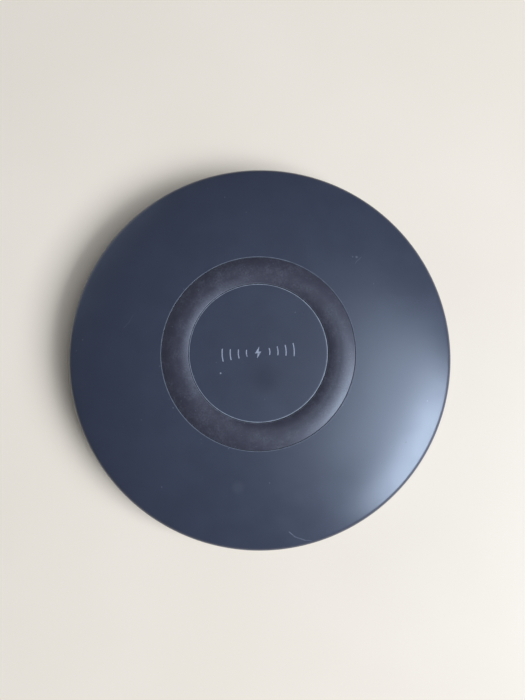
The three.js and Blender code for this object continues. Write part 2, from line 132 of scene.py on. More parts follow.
def numbered(name, count):
    """Names of CAD nodes that count up from 1."""
    return [f"{name}_{number}" for number in range(1, count + 1)]


CASE_NODES = numbered("case_screw", 4)
BOARD_NODES = numbered("board_screw", 3)
CASE_SCREWS = [centre_of(node) for node in CASE_NODES]
BOARD_SCREWS = [centre_of(node) for node in BOARD_NODES]

# Status light and coil.
LIGHT_Z = 4.6
LIGHT_HALF = 3
LIGHT_HEIGHT = 1.2
WIRE = 0.95
COIL_Z = 10.35
COIL_INNER = 10.6
COIL_PITCH = 1.15
COIL_START = 204
TURNS = 10
LEAD_X = -29  # where the leads of the coil and of its thermistor end on the board
COIL_LEADS = (0.8, -4.6)
THERMISTOR_Y = -1


# -------- mesh helpers


def add_object(name, data):
    """An object in the scene from a mesh, light or camera."""
    made = bpy.data.objects.new(name, data)
    bpy.context.scene.collection.objects.link(made)
    return made


def fine_piece(node, mesh):
    """A finer piece in place of a CAD node, which it hides."""
    made = add_object(f"{node}_fine", mesh)
    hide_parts(node)
    return made


def arc(centre, radius, start, end, steps):
    """Points of an arc in a profile, angles in degrees."""
    angles = np.radians(np.linspace(start, end, steps))
    return [(centre[0] + radius * cos(a), centre[1] + radius * sin(a)) for a in angles]


def rounded(points, steps=5):
    """A closed profile whose corners are rounded: each point is (r, z) or (r, z, radius)."""
    made = []
    count = len(points)
    for i, point in enumerate(points):
        here = Vector(point[:2])
        radius = point[2] if len(point) > 2 else 0
        if not radius:
            made.append(tuple(here))
            continue
        before = (Vector(points[i - 1][:2]) - here).normalized()
        after = (Vector(points[(i + 1) % count][:2]) - here).normalized()
        half = before.angle(after) / 2
        reach = radius / tan(half)
        start, end = here + before * reach, here + after * reach
        centre = here + (before + after).normalized() * (radius / sin(half))
        a, b = start - centre, end - centre
        turn = a.angle(b)
        for share in np.linspace(0, 1, steps + 1):
            # Spherical interpolation between the two ends of the round.
            spoke = (a * sin((1 - share) * turn) + b * sin(share * turn)) / sin(turn)
            made.append(tuple(centre + spoke))
    return made


def mesh_from(made):
    """A mesh from a bmesh, which it frees."""
    mesh = bpy.data.meshes.new("mesh")
    made.to_mesh(mesh)
    made.free()
    return mesh


def section(inner, outer, low, high, low_edge, high_edge):
    """Profile of a plate, or of a ring when inner isn't 0, with rounded rims."""
    low_hub, high_hub = (low_edge, high_edge) if inner else (0, 0)
    points = [(inner, low, low_hub), (outer, low, low_edge)]
    return rounded([*points, (outer, high, high_edge), (inner, high, high_hub)])


def loft(rings, closed=False):
    """A mesh through rings of points in millimetres, where a ring of one point is a pole.

    Open ends are capped, or with closed, the last ring joins the first.
    """
    made = bmesh.new()
    levels = [[made.verts.new(Vector(point) * MM) for point in ring] for ring in rings]
    pairs = list(zip(levels, levels[1:]))
    if closed:
        pairs.append((levels[-1], levels[0]))
    else:
        for end in (levels[0], levels[-1]):
            if len(end) > 2:
                made.faces.new(end)
    for first, second in pairs:
        count = max(len(first), len(second))
        for i in range(count):
            j = (i + 1) % count
            corners = [first[i % len(first)], first[j % len(first)]]
            corners += [second[j % len(second)], second[i % len(second)]]
            made.faces.new(list(dict.fromkeys(corners)))
    bmesh.ops.recalc_face_normals(made, faces=made.faces)
    return mesh_from(made)


def circle(radius, sides, x=0.0, y=0.0):
    """Points of a circle."""
    turns = np.linspace(0, 2 * pi, sides, endpoint=False)
    return [(x + radius * cos(t), y + radius * sin(t)) for t in turns]


def lathe(profile, segments=FINE, x=0.0, y=0.0):
    """A mesh turned about an upright axis from a profile of (r, z).

    The profile ends on the axis at both ends, or else it closes on itself.
    """
    rings = []
    for radius, z in profile:
        ring = circle(radius, segments, x, y) if radius > 0 else [(x, y)]
        rings.append([(*point, z) for point in ring])
    return loft(rings, closed=profile[0][0] > 0)


def prism(outline, low, high, axis="z"):
    """A mesh drawn out of an outline of (a, b) from low to high along an axis."""
    places = {
        "z": lambda a, b, c: (a, b, c),
        "y": lambda a, b, c: (a, c, b),
        "x": lambda a, b, c: (c, a, b),
    }
    return loft([[places[axis](a, b, level) for a, b in outline] for level in (low, high)])


def rectangle(width, height, corner=0.0, centre=(0, 0), steps=6):
    """Outline of a rectangle with rounded corners."""
    w, h = width / 2, height / 2
    x, y = centre
    points = [(x - w, y - h, corner), (x + w, y - h, corner)]
    points += [(x + w, y + h, corner), (x - w, y + h, corner)]
    return rounded(points, steps)


def block(low, high):
    """A plain box from its two corners, for cutting and joining."""
    outline = [(low[0], low[1]), (high[0], low[1]), (high[0], high[1]), (low[0], high[1])]
    return prism(outline, low[2], high[2])


def brick(low, high, corner=0.2, edge=0.08, steps=3):
    """A box from its two corners, with rounded upright corners and rounded rims."""
    low, high = Vector(low), Vector(high)
    middle = (low + high) / 2
    size = high - low
    rings = []
    for share in np.linspace(0, 1, steps + 1):
        turn = share * pi / 2
        rings.append((edge * (1 - sin(turn)), low.z + edge * (1 - cos(turn))))
    rings += [(inset, low.z + high.z - z) for inset, z in rings[::-1]]
    made = []
    for inset, z in rings:
        width, depth = size.x - 2 * inset, size.y - 2 * inset
        flat = rectangle(width, depth, max(corner, 1.05 * edge) - inset, (middle.x, middle.y), 3)
        made.append([(*point, z) for point in flat])
    return loft(made)


def cylinder(radius, low, high, x=0.0, y=0.0, sides=48):
    """An upright cylinder, for cutting and joining."""
    return prism(circle(radius, sides, x, y), low, high)


def columns(places, radius, low, high):
    """An upright cylinder at each of several places."""
    return [cylinder(radius, low, high, x, y) for x, y in places]


def spline(points, steps):
    """A smooth curve through all the points."""
    knots = np.array([points[0], *points, points[-1]], float)
    made = []
    for a, b, c, d in zip(knots, knots[1:], knots[2:], knots[3:]):
        for t in np.linspace(0, 1, steps, endpoint=False):
            curve = 2 * b + (c - a) * t + (2 * a - 5 * b + 4 * c - d) * t**2
            made.append((curve + (3 * b - a - 3 * c + d) * t**3) / 2)
    return [*made, knots[-1]]


def tube(path, radius, sides, strands=0, lay=4.0):
    """A wire along a path. With strands, its surface is that many strands twisted over lay."""
    points = [Vector(point) for point in path]
    normal = Vector((0, 0, 1))
    rings = []
    travelled = 0
    for i, point in enumerate(points):
        before, after = points[max(i - 1, 0)], points[min(i + 1, len(points) - 1)]
        tangent = (after - before).normalized()
        normal = (normal - tangent * normal.dot(tangent)).normalized()
        side = tangent.cross(normal)
        travelled += (point - before).length
        ring = []
        for turn in np.linspace(0, 2 * pi, sides, endpoint=False):
            twist = strands / 2 * (turn + 2 * pi * travelled / lay)
            reach = radius * (0.84 + 0.16 * abs(cos(twist))) if strands else radius
            ring.append(point + (normal * cos(turn) + side * sin(turn)) * reach)
        rings.append(ring)
    return loft(rings)


def gather(*groups):
    """One mesh from groups of meshes: a group's place in the list is its faces' material."""
    made = bmesh.new()
    for number, group in enumerate(groups):
        for part in group:
            start = len(made.faces)
            made.from_mesh(part)
            made.faces.ensure_lookup_table()
            for face in made.faces[start:]:
                face.material_index = number
            bpy.data.meshes.remove(part)
    return mesh_from(made)


def swap_mesh(piece, mesh):
    """Gives a piece another mesh and removes its old one."""
    old = piece.data
    piece.data = mesh
    bpy.data.meshes.remove(old)


def attach(piece, *groups):
    """Adds groups of meshes to a piece: its own faces keep the first material."""
    swap_mesh(piece, gather([piece.data.copy()], *groups))


def apply_modifiers(piece):
    """Makes the modifiers' result the piece's own mesh."""
    graph = bpy.context.evaluated_depsgraph_get()
    mesh = bpy.data.meshes.new_from_object(piece.evaluated_get(graph))
    piece.modifiers.clear()
    swap_mesh(piece, mesh)


def combine(piece, operation, *meshes):
    """Joins meshes that don't touch each other to a piece, cuts them from it, or meets them."""
    tool = add_object("tool", gather(meshes))
    change = piece.modifiers.new("change", "BOOLEAN")
    change.operation = operation
    change.solver = "EXACT"
    change.object = tool
    apply_modifiers(piece)
    bpy.data.meshes.remove(tool.data)


def soften(piece, width):
    """Rounds a piece's sharp edges by a small bevel, width in millimetres."""
    bevel = piece.modifiers.new("soften", "BEVEL")
    bevel.width = width * MM
    bevel.segments = 2
    bevel.limit_method = "ANGLE"
    bevel.angle_limit = radians(35)
    bevel.use_clamp_overlap = True
    apply_modifiers(piece)


def smooth(piece, angle=40):
    """The piece with smooth shading, kept sharp across edges over the given angle."""
    piece.data.shade_smooth()
    piece.data.set_sharp_from_angle(angle=radians(angle))
    return piece


# -------- material helpers


class Nodes:
    """A material's node tree, with short ways to add nodes to it."""

    def __init__(self, name):
        self.material = bpy.data.materials.new(name)
        self.material.use_nodes = True
        self.tree = self.material.node_tree
        self.tree.nodes.clear()
        self.shader = self.add("BsdfPrincipled")
        self.add("OutputMaterial", surface=self.shader.outputs[0])
        self.place = self.add("TexCoord").outputs["Object"]

    def feed(self, socket, value):
        """Gives a socket a value, or links it to another node's socket."""
        if isinstance(value, bpy.types.NodeSocket):
            self.tree.links.new(value, socket)
        elif socket.type == "RGBA":
            socket.default_value = (*value, 1)
        elif value is not None:
            socket.default_value = value

    def fill(self, node, values):
        """Gives values to a node's sockets by name: base_color is the socket Base Color."""
        for name, value in values.items():
            title = name.replace("_", " ").title().replace("Ior", "IOR")
            self.feed(node.inputs[title], value)

    def add(self, kind, **values):
        """A new node, with values for its sockets."""
        node = self.tree.nodes.new(f"ShaderNode{kind}")
        self.fill(node, values)
        return node

    def set(self, **values):
        """Sets the shader's own sockets: base_color=(r, g, b), roughness=0.4 and so on."""
        self.fill(self.shader, values)

    def operate(self, kind, operation, values):
        node = self.add(kind)
        node.operation = operation
        for socket, value in zip(node.inputs, values):
            self.feed(socket, value)
        return node.outputs

    def math(self, operation, *values):
        return self.operate("Math", operation, values)[0]

    def vector(self, operation, *values):
        outputs = self.operate("VectorMath", operation, values)
        return outputs["Value" if operation in ("LENGTH", "DOT_PRODUCT") else "Vector"]

    def product(self, first, *others):
        """Several values multiplied."""
        for other in others:
            first = self.math("MULTIPLY", first, other)
        return first

    def highest(self, first, *others):
        """The highest of several values."""
        for other in others:
            first = self.math("MAXIMUM", first, other)
        return first

    def noise(self, size, detail=2, roughness=0.5, place=None, distortion=0):
        """Noise whose features are about size millimetres across, from 0 to 1."""
        values = {"scale": 1 / (size * MM), "detail": detail, "roughness": roughness}
        node = self.add("TexNoise", **values, distortion=distortion, vector=place or self.place)
        return node.outputs["Fac"]

    def cells(self, size):
        """Voronoi cells about size millimetres across: the distance to a cell's point."""
        node = self.add("TexVoronoi", scale=1 / (size * MM), vector=self.place)
        return node.outputs["Distance"]

    def ramp(self, value, low, high, to_low=0.0, to_high=1.0):
        """A smooth change from to_low to to_high as value goes from low to high."""
        values = {"from_min": low, "from_max": high, "to_min": to_low, "to_max": to_high}
        node = self.add("MapRange", value=value, **values)
        node.interpolation_type = "SMOOTHSTEP"
        return node.outputs["Result"]

    def blend(self, share, first, second):
        """A colour between two colours."""
        node = self.add("Mix", factor=share)
        node.data_type = "RGBA"
        sockets = [socket for socket in node.inputs if socket.type == "RGBA"]
        for socket, value in zip(sockets, (first, second)):
            self.feed(socket, value)
        return next(socket for socket in node.outputs if socket.type == "RGBA")

    def bump(self, *layers):
        """Bump from (height, depth in millimetres) layers, one over the other."""
        normal = None
        for height, depth in layers:
            node = self.add("Bump", strength=1, distance=depth * MM, height=height, normal=normal)
            normal = node.outputs[0]
        self.set(normal=normal)

    def normal_z(self):
        """How far the surface faces up or down, from 1 to -1."""
        normal = self.add("NewGeometry").outputs["Normal"]
        return self.add("SeparateXYZ", vector=normal).outputs["Z"]

    def distance(self, x=0.0, y=0.0):
        """How far a place is from a point seen from above, given in millimetres, in metres."""
        flat = self.vector("MULTIPLY", self.place, (1, 1, 0))
        return self.vector("LENGTH", self.vector("SUBTRACT", flat, (x * MM, y * MM, 0)))

    def band(self, value, centre, half_width, soft):
        """1 within half_width of centre, fading to 0 over soft, all in millimetres."""
        away = self.math("ABSOLUTE", self.math("SUBTRACT", value, centre * MM))
        return self.ramp(away, half_width * MM, (half_width + soft) * MM, 1, 0)

    def near(self, x, y, reach, soft):
        """1 within reach of a point seen from above, fading to 0 over soft, in millimetres."""
        return self.ramp(self.distance(x, y), reach * MM, (reach + soft) * MM, 1, 0)

    def seam(self, radius, half_width, soft, strength):
        """A light line round the pad, a little stronger in places: dust in a seam, and on the cover's
        groove edges a painted highlight as well.
        """
        line = self.band(self.distance(), radius, half_width, soft)
        uneven = self.ramp(self.noise(1.6, 4, 0.7), 0.3, 0.7, 0.55 * strength, strength)
        return self.product(line, uneven)

    def scratch(self, x0, y0, x1, y1, half_width):
        """1 on a line between two points seen from above, broken up a little, in millimetres."""
        length = hypot(x1 - x0, y1 - y0)
        along = Vector((x1 - x0, y1 - y0, 0)) / length
        offset = self.vector("SUBTRACT", self.place, (x0 * MM, y0 * MM, 0))
        far = self.vector("DOT_PRODUCT", offset, tuple(along))
        side = self.vector("DOT_PRODUCT", offset, (-along.y, along.x, 0))
        bow = self.product(self.math("SUBTRACT", self.noise(3, 1, 0.4), 0.5), 0.9 * MM)
        line = self.band(self.math("ADD", side, bow), 0, half_width, half_width)
        inside = self.band(far, length / 2, length / 2, 0.3)
        broken = self.ramp(self.noise(0.9, 3, 0.7), 0.3, 0.5, 0.35, 1)
        return self.product(line, inside, broken)


def scaled(colour, share):
    """A colour made darker or lighter."""
    return tuple(min(1, c * share) for c in colour)


def paint(piece, *materials):
    """Gives a piece its materials, and leaves each face's choice of them as it is."""
    slots = piece.data.materials
    for number, material in enumerate(materials):
        if number < len(slots):
            slots[number] = material
        else:
            slots.append(material)


# -------- materials

COVER_COLOUR = (0.0395, 0.0420, 0.0585)
GRIP_COLOUR = (0.040, 0.0345, 0.0455)
BASE_COLOUR = (0.032, 0.036, 0.046)
INK_COLOUR = (0.30, 0.295, 0.325)
TIN_COLOUR = (0.62, 0.62, 0.60)
DUST_COLOUR = (0.42, 0.42, 0.44)

# Wear on the cover, in millimetres from the pad's centre. A scratch runs from one point to
# another and has half its width. A mark or dark smudge has its point, its reach and how softly it
# fades. The number after each is its strength.
COVER_SCRATCHES = [
    ((4.2, -44.3, 5.5, -45.5, 0.07), 0.22),
    ((5.7, -45.6, 7.8, -46.8, 0.06), 0.17),
    ((7.7, -46.8, 9.3, -47.2, 0.06), 0.13),
    ((26.2, 20.6, 27.6, 22.2, 0.05), 0.10),
    ((-33.0, 9.0, -30.2, 12.4, 0.04), 0.07),
]
COVER_MARKS = [
    ((-9.6, -4.4, 0.13, 0.16), 0.50),
    ((26.6, 22.2, 0.12, 0.30), 0.16),
    ((-7.4, -32.4, 0.50, 1.60), 0.03),
]
COVER_SMUDGES = [((1.4, -6.6, 0.8, 4.2), 0.30), ((34.6, -24.8, 0.10, 0.16), 0.9)]


def cover_material():
    """Satin charcoal plastic: fine moulded grain, smudges, specks, scratches, and seam dust with a painted
    highlight along the groove's edges.
    """
    m = Nodes("cover_plastic")
    mottle = m.ramp(m.noise(9, 3, 0.6), 0.3, 0.7)
    smudge = m.ramp(m.noise(14, 4, 0.65, distortion=0.6), 0.5, 0.72)
    speck = m.ramp(m.cells(5.5), 0.018, 0.034, 1, 0)
    # Painted highlight: the light lines at the groove's inner and outer edges are seam dust and also a
    # painted highlight of those edges catching light; the outer line also paints over the shade in the
    # groove's outer fillet.
    inner_line = m.seam(GROOVE_INNER - 0.11, 0.09, 0.06, 0.6)
    outer_line = m.seam(GROOVE_OUTER + 0.07, 0.09, 0.08, 0.28)
    beside = m.band(m.distance(), GROOVE_OUTER + 0.5, 0.5, 0.6)
    patchy = m.ramp(m.noise(5, 3, 0.6), 0.45, 0.6)
    lint = m.product(m.ramp(m.cells(1.5), 0.07, 0.15, 1, 0), patchy, beside, 0.15)
    marks = [m.product(m.scratch(*place), share) for place, share in COVER_SCRATCHES]
    marks += [m.product(m.near(*place), share) for place, share in COVER_MARKS]
    # dust holds the painted highlight of the groove lines as well as real dust, lint, specks and
    # scratches.
    dust = m.highest(inner_line, outer_line, lint, m.product(speck, 0.22), *marks)
    plastic = m.blend(mottle, COVER_COLOUR, scaled(COVER_COLOUR, 1.07))
    for place, share in COVER_SMUDGES:
        shade = m.product(m.near(*place), share)
        plastic = m.blend(shade, plastic, scaled(COVER_COLOUR, 0.3))
    roughness = m.math("ADD", m.ramp(mottle, 0, 1, 0.335, 0.365), m.product(smudge, 0.03))
    m.set(base_color=m.blend(dust, plastic, DUST_COLOUR), roughness=roughness)
    m.set(specular_ior_level=0.5, coat_weight=0.27, coat_roughness=0.3)
    m.bump((m.noise(0.16, 2, 0.6), 0.0025))
    return m.material


def grip_material():
    """Matte silicone with a fine grain, a dusty bloom, lint, dusty seams and a few faint rubs."""
    m = Nodes("grip_silicone")
    bloom = m.ramp(m.noise(3.2, 5, 0.7), 0.35, 0.75)
    lint = m.ramp(m.cells(1.9), 0.045, 0.1, 1, 0)
    grain = m.ramp(m.noise(0.45, 2, 0.6), 0.3, 0.7)
    rub = m.ramp(m.noise(1.4, 4, 0.75, distortion=1.5), 0.62, 0.72)
    inner_line = m.seam(GRIP_INNER + 0.04, 0.04, 0.12, 0.2)
    outer_line = m.seam(GRIP_OUTER - 0.03, 0.02, 0.08, 0.12)
    haze = m.product(bloom, grain, 0.09)
    dust = m.highest(haze, m.product(rub, 0.06), m.product(lint, 0.11), inner_line, outer_line)
    m.set(base_color=m.blend(dust, GRIP_COLOUR, DUST_COLOUR))
    m.set(roughness=m.ramp(bloom, 0, 1, 0.41, 0.47), specular_ior_level=0.5)
    m.bump((m.noise(0.12, 3, 0.65), 0.008), (m.noise(0.5, 3, 0.6), 0.01))
    return m.material


def base_material():
    """Fine spark-eroded texture of the base cover, a little duller than the top."""
    m = Nodes("base_plastic")
    grain = m.noise(0.3, 3, 0.6)
    scuff = m.ramp(m.noise(5, 4, 0.7, distortion=1.2), 0.6, 0.75)
    colour = m.blend(m.product(scuff, 0.25), BASE_COLOUR, scaled(BASE_COLOUR, 1.8))
    m.set(base_color=colour, roughness=m.ramp(scuff, 0, 1, 0.52, 0.42), specular_ior_level=0.5)
    m.bump((grain, 0.012))
    return m.material


def foot_material():
    """Dull rubber with table dust pressed into it."""
    m = Nodes("foot_rubber")
    grain = m.noise(0.25, 3, 0.7)
    dust = m.product(m.ramp(m.noise(2.4, 5, 0.75), 0.5, 0.8), 0.18)
    colour = m.blend(dust, (0.02, 0.021, 0.025), DUST_COLOUR)
    m.set(base_color=colour, roughness=m.ramp(m.noise(1.2), 0.3, 0.7, 0.72, 0.86))
    m.bump((grain, 0.015))
    return m.material


def ink_material():
    """Pad-printed ink with pinholes, worn a little thin."""
    m = Nodes("legend_ink")
    wear = m.ramp(m.noise(0.35, 4, 0.7), 0.34, 0.5)
    thin = tuple((a + b) / 2 for a, b in zip(INK_COLOUR, COVER_COLOUR))
    m.set(base_color=m.blend(wear, thin, INK_COLOUR), roughness=m.ramp(wear, 0, 1, 0.5, 0.58))
    m.bump((m.noise(0.12, 3, 0.7), 0.004))
    return m.material


def mottled(name, colour, roughness, grain, depth, patch=4.0, lift=1.3, stretch=(1, 1, 1), **values):
    """A material with a grain, uneven roughness and a colour that drifts in patches.

    Grain and patch are sizes in millimetres, depth is the grain's height, and stretch makes the
    grain run along an axis, as brushing or rolling does.
    """
    m = Nodes(name)
    place = m.vector("MULTIPLY", m.place, stretch)
    drift = m.ramp(m.noise(patch, 4, 0.6), 0.35, 0.65)
    fine = m.noise(grain, 3, 0.65, place)
    tone = m.product(m.math("ADD", drift, m.ramp(fine, 0.3, 0.7)), 0.5)
    m.set(base_color=m.blend(tone, colour, scaled(colour, lift)))
    patches = m.noise(patch * 0.3, 3, 0.65, place)
    rough = m.ramp(patches, 0.3, 0.7, roughness * 0.82, min(1, roughness * 1.18))
    m.set(roughness=rough, **values)
    m.bump((fine, depth))
    return m.material


def board_material():
    """Green solder mask over copper: traces show as lighter, slightly raised lines, with vias."""
    m = Nodes("board")
    edge_on = m.ramp(m.math("ABSOLUTE", m.normal_z()), 0.3, 0.7)
    contour = m.math("ABSOLUTE", m.math("SUBTRACT", m.noise(7, 1, 0.4), 0.5))
    trace = m.ramp(contour, 0.012, 0.022, 1, 0)
    via = m.ramp(m.cells(3.1), 0.09, 0.12, 1, 0)
    copper = m.math("MAXIMUM", trace, via)
    mask = m.blend(copper, (0.006, 0.055, 0.025), (0.02, 0.14, 0.05))
    glass = m.blend(m.ramp(m.noise(0.5, 3, 0.6), 0.3, 0.7), (0.36, 0.33, 0.18), (0.5, 0.46, 0.27))
    m.set(base_color=m.blend(edge_on, glass, mask), roughness=m.ramp(m.noise(2, 3), 0.3, 0.7, 0.3, 0.42))
    m.bump((copper, 0.02), (m.noise(0.4, 3, 0.6), 0.004))
    return m.material


def table_material():
    """Plain pale laminate."""
    m = Nodes("table")
    cloud = m.noise(60, 3, 0.5)
    low, high = (0.875, 0.690, 0.505), (0.90, 0.712, 0.525)
    m.set(base_color=m.blend(m.ramp(cloud, 0.3, 0.7), low, high), roughness=0.55, specular_ior_level=0.3)
    m.bump((m.noise(1.5, 3, 0.6), 0.01))
    return m.material


# -------- top cover


def dome_z(radius):
    return DISC_Z - DOME_DROP * (radius / DOME_RADIUS) ** DOME_POWER


def dome(start, end, steps, lower=0):
    return [(r, dome_z(r) - lower) for r in np.linspace(start, end, steps)]


def rim(steps):
    """The rolled rim: an arc that leaves the dome along its slope and ends upright."""
    tilt = atan(DOME_POWER * DOME_DROP / DOME_RADIUS)
    radius = (PAD_RADIUS - DOME_RADIUS) / (1 - sin(tilt))
    centre = (PAD_RADIUS - radius, dome_z(DOME_RADIUS) - radius * cos(tilt))
    return arc(centre, radius, 90 - degrees(tilt), 0, steps)[1:]


def make_top_cover():
    """The domed cover, with the ring's groove, a locating lip, a rib round the coil and bosses."""
    edge = 0.09
    top = [(r, DISC_Z) for r in (0, 6, 12, 15.5, GROOVE_INNER - 0.6)]
    top += arc((GROOVE_INNER - edge, DISC_Z - edge), edge, 90, 0, 6)
    groove = rounded(
        [(GROOVE_INNER, DISC_Z - 0.5), (GROOVE_INNER, GROOVE_Z, 0.15)]
        + [(GROOVE_OUTER, GROOVE_Z, 0.15), (GROOVE_OUTER, dome_z(GROOVE_OUTER) - 0.4)]
    )[1:-1]
    shoulder = arc((GROOVE_OUTER + edge, dome_z(GROOVE_OUTER) - edge), edge, 180, 93, 6)
    outside = dome(GROOVE_OUTER + edge + 0.15, DOME_RADIUS, 40) + rim(16)
    below = rounded(
        [(PAD_RADIUS, SEAM_Z + 0.5), (PAD_RADIUS, SEAM_Z, 0.12), (LIP_OUTER, SEAM_Z, 0.1)]
        + [(LIP_OUTER, LIP_LOW, 0.3), (LIP_INNER, LIP_LOW, 0.3), (LIP_INNER, LIP_LOW + 1)]
    )[1:-1]
    inside = dome(28, LIP_INNER, 14, WALL)[::-1]
    rib = rounded(
        [(RIB_OUTER, CEILING_Z), (RIB_OUTER, RIB_LOW, 0.25), (RIB_INNER, RIB_LOW, 0.25)]
        + [(RIB_INNER, CEILING_Z), (0, CEILING_Z)]
    )
    mesh = lathe(top + groove + shoulder + outside + below + inside + rib)
    cover = fine_piece("top_cover", mesh)
    bosses = columns(CASE_SCREWS, COVER_BOSS, BOSS_MEETING_Z + 0.1, CEILING_Z - 0.2)
    combine(cover, "UNION", *bosses)
    pilots = columns(CASE_SCREWS, COVER_PILOT, BOSS_MEETING_Z - PAST, PILOT_TOP_Z)
    half, start = 9, 40
    socket_notch = block((-half, start, LIP_LOW - PAST), (half, PAD_RADIUS, SEAM_Z - 0.01))
    lead_notch = block((-28, -11, RIB_LOW - PAST), (-23, 2.4, CEILING_Z - 0.01))
    combine(cover, "DIFFERENCE", *pilots, socket_notch, lead_notch)
    return smooth(cover, 30)


def make_legend():
    """A generic charging sign printed on the disc: a bolt between arcs that grow outwards."""
    half = 1.5
    bolt = [(0.4, half), (-0.8, -0.18), (-0.12, -0.18), (-0.4, -half), (0.8, 0.18), (0.12, 0.18)]
    outlines = [bolt]
    stroke = 0.13
    for radius, reach in ((2.9, 0.75), (4.9, 1.0), (6.9, 1.25), (8.9, half)):
        turn = degrees(asin(reach / radius))
        for middle in (0, 180):
            low, high = middle - turn, middle + turn
            tip, tail = arc((0, 0), radius, low, high, 2)
            outline = arc((0, 0), radius + stroke, low, high, 15)
            outline += arc(tail, stroke, high, high + 180, 7)[1:-1]
            outline += arc((0, 0), radius - stroke, high, low, 15)
            outline += arc(tip, stroke, low + 180, low + 360, 7)[1:-1]
            outlines.append(outline)
    films = [prism(outline, DISC_Z - 0.01, DISC_Z + 0.012) for outline in outlines]
    legend = add_object("legend_print", gather(films))
    return legend


# -------- grip ring


def flank(crest, edge, edge_z, steps):
    """One side of the hump, from its crest to its edge: it steepens evenly."""
    shares = np.linspace(0, 1, steps)
    return [(crest + (edge - crest) * s, CREST_Z - (CREST_Z - edge_z) * s**2) for s in shares]


def make_grip_ring():
    """The hump between its two flanks, with a small round lip at each edge."""
    lip = 0.12
    low = GRIP_LOW.z
    inner = flank(CREST_INNER, GRIP_INNER + lip, GRIP_INNER_Z, 20)[::-1]
    outer = flank(CREST_OUTER, GRIP_OUTER - lip, GRIP_OUTER_Z, 24)
    profile = [(GRIP_INNER + 0.1, low), (GRIP_INNER, low + 0.1)]
    profile += arc((GRIP_INNER + lip, GRIP_INNER_Z - lip), lip, 180, 105, 6)
    profile += inner + outer
    profile += arc((GRIP_OUTER - lip, GRIP_OUTER_Z - lip), lip, 70, 0, 6)
    profile += [(GRIP_OUTER, low + 0.1), (GRIP_OUTER - 0.1, low)]
    return smooth(fine_piece("grip_ring", lathe(profile)), 50)


# -------- base cover and foot


def bowl(steps, wall=0.0):
    """Quarter ellipse of the bowl, from its top edge down to the flat bottom."""
    angles = np.linspace(0, pi / 2, steps)
    wide = BOWL_RADIUS - BOTTOM_RADIUS - wall
    deep = BOWL_TOP_Z - BOTTOM_Z - wall
    return [(BOTTOM_RADIUS + wide * cos(a), BOWL_TOP_Z - deep * sin(a)) for a in angles]


def bowl_radius(z):
    """Radius of the bowl's outer face at a height."""
    share = (BOWL_TOP_Z - z) / (BOWL_TOP_Z - BOTTOM_Z)
    return BOTTOM_RADIUS + (BOWL_RADIUS - BOTTOM_RADIUS) * sqrt(1 - share**2)


def socket_outline(inset):
    """The socket in section: wide side down, chamfered towards the board."""
    corner = 0.4
    w = SHELL_HIGH.x - inset
    low, high = SHELL_LOW.z + inset, SHELL_HIGH.z - inset
    chamfer = 1 - inset / 4
    points = [(-w, low, corner), (w, low, corner), (w, high - chamfer, corner)]
    points += [(w - chamfer, high, corner), (-w + chamfer, high, corner), (-w, high - chamfer, corner)]
    return rounded(points, 4)


